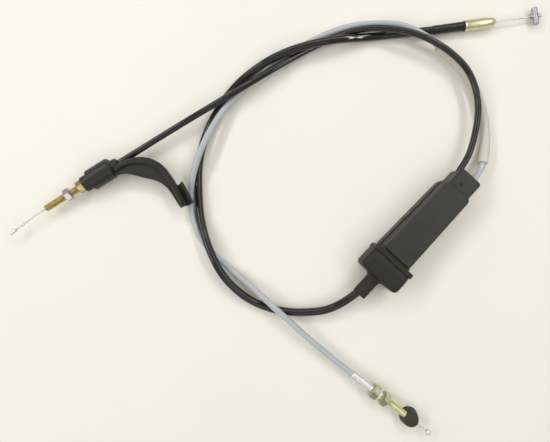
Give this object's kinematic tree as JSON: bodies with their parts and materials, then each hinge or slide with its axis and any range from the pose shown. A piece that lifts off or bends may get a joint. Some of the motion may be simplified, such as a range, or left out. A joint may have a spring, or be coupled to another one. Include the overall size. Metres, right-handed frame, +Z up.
{
  "type": "throttle cable set with splitter box",
  "caption": "Moped throttle cable set: a thick input cable enters a booted splitter box whose slider pulls a carburettor cable and an oil pump cable.",
  "frame": {"origin": "middle of the set's footprint, measured without the free cables, at the floor it lies on", "axes": "+X along the lay's longer side, from the carburettor end towards the grip end; +Y from the oil pump end towards the grip end; +Z up from the floor"},
  "size_m": [0.4695, 0.3788, 0.0274],
  "materials": {
    "box_plastic": "fine matte moulding grain",
    "boot_rubber": "matte",
    "cap_rubber": "matte",
    "black_conduit": "glossy extruded skin",
    "grey_conduit": "satin extruded skin",
    "heat_sleeve": "satin, slightly milky",
    "end_sleeve": "satin",
    "ferrule_zinc": "pale yellow zinc plate",
    "bright_steel": "bright",
    "adjuster_brass": "satin",
    "lilac_steel": "satin zinc plate",
    "yellow_zinc": "yellow-green zinc plate",
    "wire_steel": "bright strand",
    "slider_plastic": "natural moulding"
  },
  "bodies": {
    "cable_set": {"splitter_base": "box_plastic", "splitter_cover": "box_plastic", "splitter_boot": "boot_rubber", "input_end_cap": "bright_steel", "throttle_conduit": "black_conduit", "throttle_inner_cable": "wire_steel", "throttle_sleeve": "end_sleeve", "throttle_ferrule": "ferrule_zinc", "carb_conduit": "black_conduit", "carb_inner_cable": "wire_steel", "carb_boot": "boot_rubber", "pump_conduit": "grey_conduit", "pump_inner_cable": "wire_steel", "heat_sleeve": "heat_sleeve", "pump_ferrule": "bright_steel", "pump_washer": "bright_steel", "pump_adjuster": "adjuster_brass", "pump_cap": "cap_rubber"},
    "grip_wire": {"throttle_wire": "wire_steel", "throttle_barrel": "bright_steel", "throttle_pin": "bright_steel"},
    "slider": {"splitter_slider": "slider_plastic", "slider_nipples": "bright_steel", "slider_throttle_wire": "wire_steel", "slider_carb_wire": "wire_steel", "slider_pump_wire": "wire_steel"},
    "carburettor_wire": {"carb_wire": "wire_steel", "carb_stop_ball": "bright_steel", "carb_nipple": "bright_steel"},
    "carburettor_adjuster": {"carb_adjuster": "adjuster_brass"},
    "carburettor_locknut": {"carb_locknut": "lilac_steel"},
    "oil_pump_wire": {"pump_wire": "wire_steel", "pump_nipple": "bright_steel"},
    "oil_pump_nut": {"pump_nut": "yellow_zinc"},
    "oil_pump_locknut": {"pump_locknut": "yellow_zinc"}
  },
  "joints": [
    {"name": "throttle_pull", "type": "slide", "parent": "cable_set", "child": "grip_wire", "axis": [0.9901, 0.1406, 0], "range_m": [-0.012, 0.006]},
    {"name": "slider_travel", "type": "slide", "parent": "cable_set", "child": "slider", "axis": [-0.6769, -0.7361, 0], "range_m": [-0.012, 0.006]},
    {"name": "carburettor_pull", "type": "slide", "parent": "cable_set", "child": "carburettor_wire", "axis": [0.8471, 0.5314, 0], "range_m": [-0.012, 0.006]},
    {"name": "oil_pump_pull", "type": "slide", "parent": "cable_set", "child": "oil_pump_wire", "axis": [-0.7924, 0.61, 0], "range_m": [-0.012, 0.006]},
    {"name": "carburettor_adjuster_turn", "type": "hinge", "parent": "cable_set", "child": "carburettor_adjuster", "pos_m": [-0.18625, 0.02143, 0.0096], "axis": [0.8471, 0.5314, 0], "continuous": true},
    {"name": "carburettor_locknut_turn", "type": "hinge", "parent": "carburettor_adjuster", "child": "carburettor_locknut", "pos_m": [-0.18337, 0.02324, 0.0096], "axis": [0.8471, 0.5314, 0], "continuous": true},
    {"name": "oil_pump_nut_turn", "type": "hinge", "parent": "cable_set", "child": "oil_pump_nut", "pos_m": [0.08606, -0.15026, 0.0072], "axis": [0.7924, -0.61, 0], "continuous": true},
    {"name": "oil_pump_locknut_turn", "type": "hinge", "parent": "cable_set", "child": "oil_pump_locknut", "pos_m": [0.09478, -0.15697, 0.0072], "axis": [0.7924, -0.61, 0], "continuous": true}
  ],
  "couplings": [
    {"joint": "slider_travel", "follows": "throttle_pull", "ratio": 1},
    {"joint": "carburettor_pull", "follows": "throttle_pull", "ratio": 1},
    {"joint": "oil_pump_pull", "follows": "throttle_pull", "ratio": 1}
  ]
}
